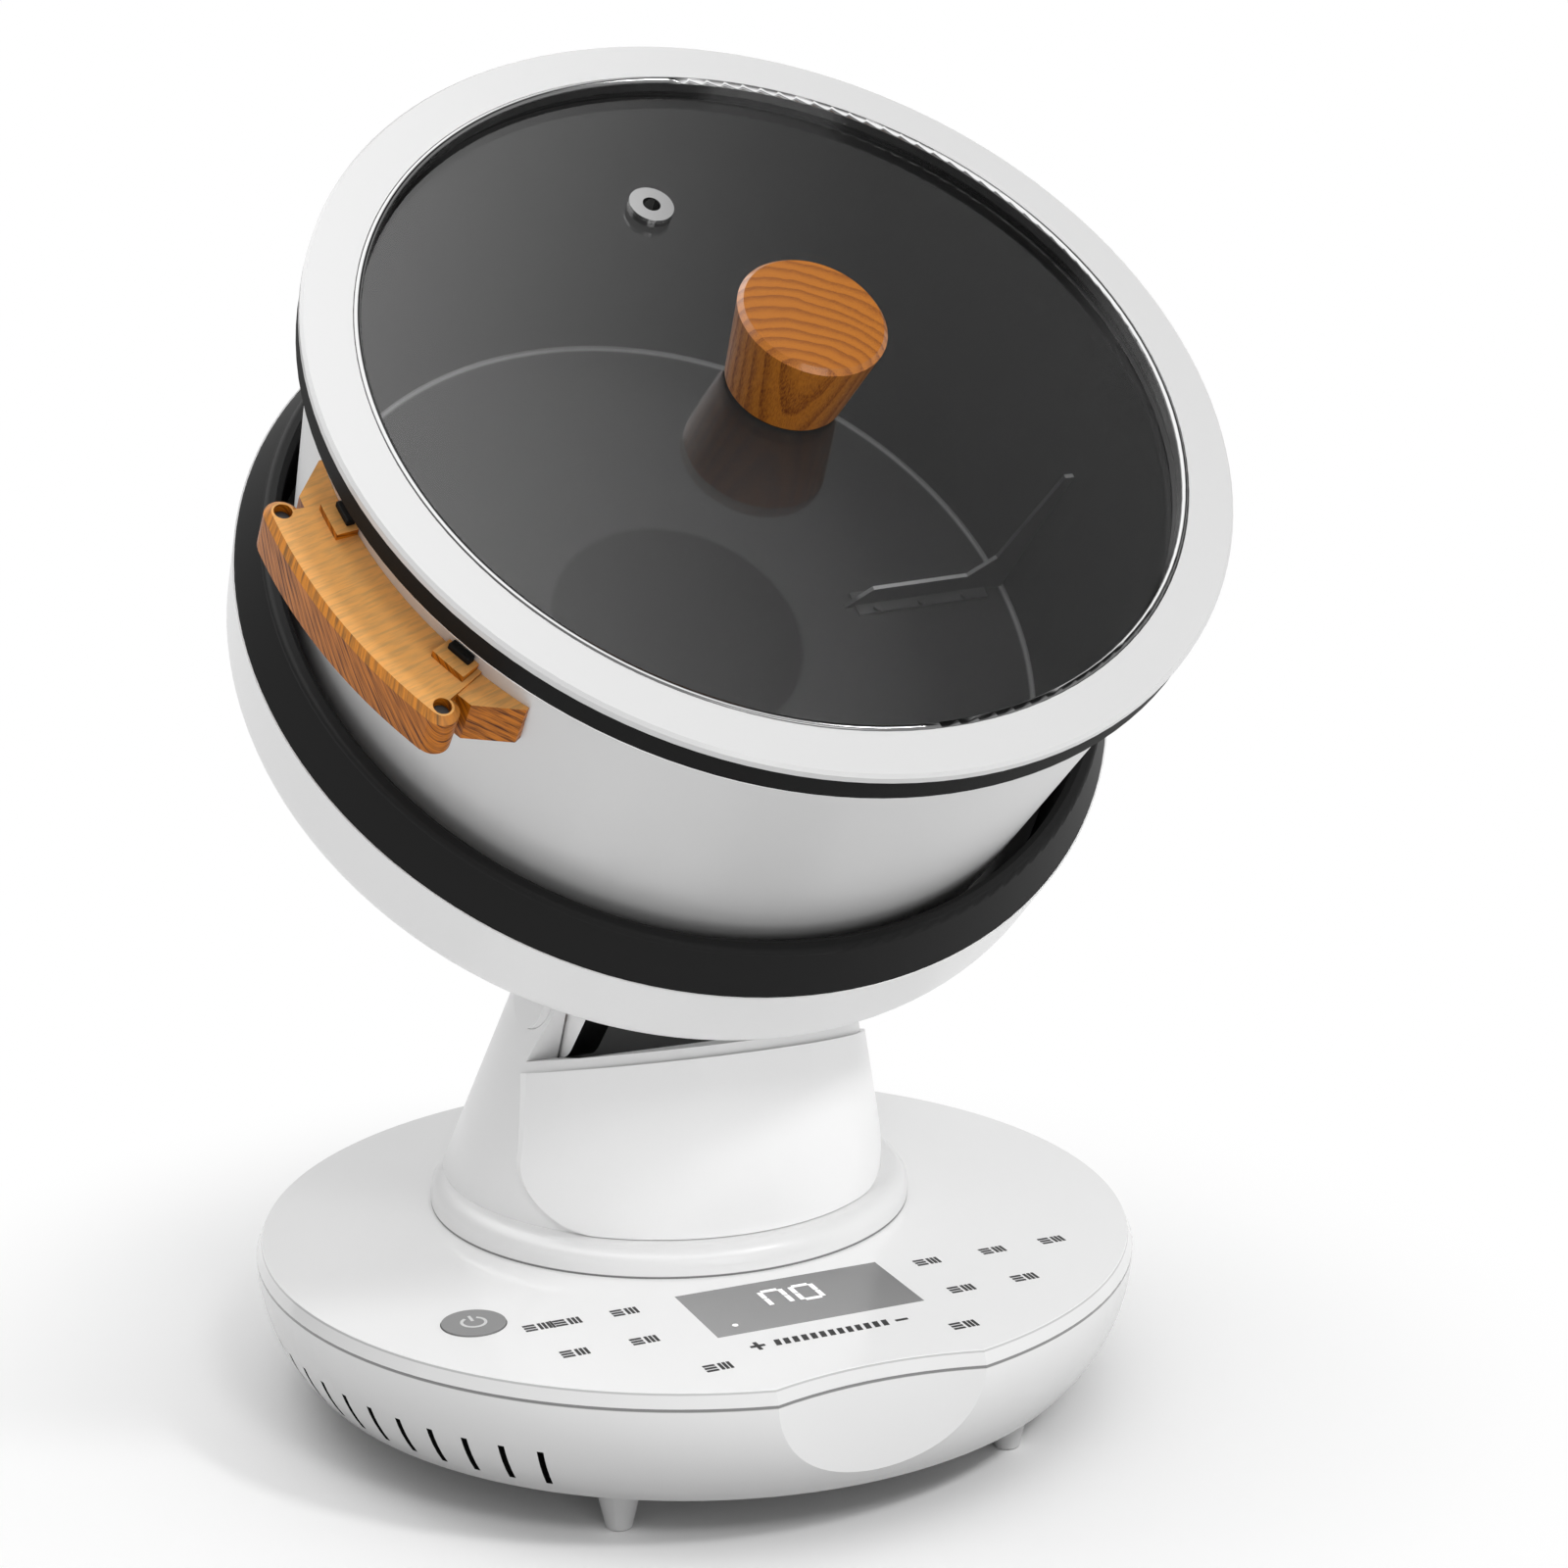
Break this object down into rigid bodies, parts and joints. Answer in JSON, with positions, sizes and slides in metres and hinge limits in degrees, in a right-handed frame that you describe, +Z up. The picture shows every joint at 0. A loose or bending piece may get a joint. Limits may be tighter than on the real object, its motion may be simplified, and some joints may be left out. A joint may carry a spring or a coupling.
{
  "type": "automatic stir fry machine",
  "caption": "Countertop stir fry cooker: round base with panel, leaning column, tilting head that turns a lift-out pot with wooden handles, and a lift-off glass lid.",
  "frame": {"origin": "on the table, under the middle of the round base", "axes": "+Z up, -Y to the front with the control panel, +X to the viewer's right"},
  "size_m": [0.3318, 0.3409, 0.4664],
  "materials": {
    "white_moulding": "gloss",
    "panel_white": "gloss",
    "plate_grey": "matte",
    "foot_rubber": "matte",
    "screw_steel": "satin",
    "display_grey": "gloss",
    "board": "satin",
    "key_grey": "satin",
    "black_plastic": "satin",
    "dark_grey_plastic": "matte",
    "heat_sink": "satin",
    "axle_steel": "satin",
    "friction_lining": "matte",
    "copper_winding": "satin",
    "bracket_steel": "satin",
    "motor_steel": "satin",
    "bush_bronze": "satin",
    "yoke_aluminium": "satin",
    "gear_plastic": "satin",
    "hub_aluminium": "satin",
    "pan_non_stick": "satin",
    "pot_steel": "satin",
    "bead_white": "gloss",
    "wood": "satin",
    "lid_glass": "gloss",
    "lid_rim": "satin",
    "chrome": "gloss",
    "seal_rubber": "matte"
  },
  "bodies": {
    "base": {"base_shell": "white_moulding", "base_plate": "plate_grey", "feet": "foot_rubber", "base_screws": "screw_steel", "control_panel": "panel_white", "display_window": "display_grey", "display_module": "black_plastic", "panel_board": "board", "key_switch": "black_plastic", "main_board": "board", "power_stage": "heat_sink", "fan_frame": "dark_grey_plastic", "mains_inlet": "black_plastic", "inlet_pins": "axle_steel", "column_shell": "white_moulding", "column_collar": "white_moulding", "column_apron": "white_moulding", "column_screws": "screw_steel", "tilt_axle": "axle_steel", "pivot_caps": "plate_grey", "friction_washers": "friction_lining"},
    "power_key": {"power_key": "key_grey"},
    "fan": {"fan_rotor": "dark_grey_plastic"},
    "head": {"head_shell": "white_moulding", "motor_cover": "white_moulding", "bezel_ring": "black_plastic", "deck_plate": "black_plastic", "heating_coil": "copper_winding", "coil_tray": "dark_grey_plastic", "motor_bracket": "bracket_steel", "gear_motor": "motor_steel", "hub_bush": "bush_bronze", "temperature_sensor": "bracket_steel", "tilt_yoke": "yoke_aluminium", "yoke_bushes": "bush_bronze", "yoke_bolts": "screw_steel"},
    "hub": {"drive_hub": "hub_aluminium", "hub_gear": "gear_plastic", "drive_dogs": "hub_aluminium"},
    "pinion": {"motor_pinion": "gear_plastic"},
    "pot": {"pot_pan": "pan_non_stick", "pot_jacket": "pot_steel", "pot_bead": "bead_white", "pot_coupling": "hub_aluminium", "stir_fin": "pan_non_stick", "fin_rivets": "pan_non_stick", "left_grip": "wood", "right_grip": "wood", "left_blocks": "wood", "right_blocks": "wood", "grip_screws": "screw_steel"},
    "lid": {"lid_glass": "lid_glass", "lid_rim": "lid_rim", "lid_trim": "chrome", "lid_seal": "seal_rubber", "lid_knob": "wood", "knob_washer": "chrome", "knob_screw": "screw_steel", "steam_eyelet": "chrome"}
  },
  "joints": [
    {"name": "power_key_press", "type": "slide", "parent": "base", "child": "power_key", "axis": [0, 0, -1], "range_m": [0, 0.0012], "stiffness_N_per_m": 800, "springref_m": -0.001},
    {"name": "fan_spin", "type": "hinge", "parent": "base", "child": "fan", "pos_m": [-0.078, -0.014, 0.03], "axis": [0, 0, 1], "continuous": true},
    {"name": "head_tilt", "type": "hinge", "parent": "base", "child": "head", "pos_m": [0, 0.00477, 0.147], "axis": [1, 0, 0], "range_deg": [-45, 25]},
    {"name": "pot_turn", "type": "hinge", "parent": "head", "child": "hub", "pos_m": [0, 0.0038, 0.2777], "axis": [0, -0.7071, 0.7071], "continuous": true},
    {"name": "pinion_turn", "type": "hinge", "parent": "head", "child": "pinion", "pos_m": [0, 0.03569, 0.30959], "axis": [0, -0.7071, 0.7071], "continuous": true},
    {"name": "pot_lift", "type": "slide", "parent": "hub", "child": "pot", "axis": [0, -0.7071, 0.7071], "range_m": [0, 0.12]},
    {"name": "lid_lift", "type": "slide", "parent": "pot", "child": "lid", "axis": [0, -0.7071, 0.7071], "range_m": [0, 0.12]}
  ],
  "couplings": [
    {"joint": "pinion_turn", "follows": "pot_turn", "ratio": -2.75}
  ]
}
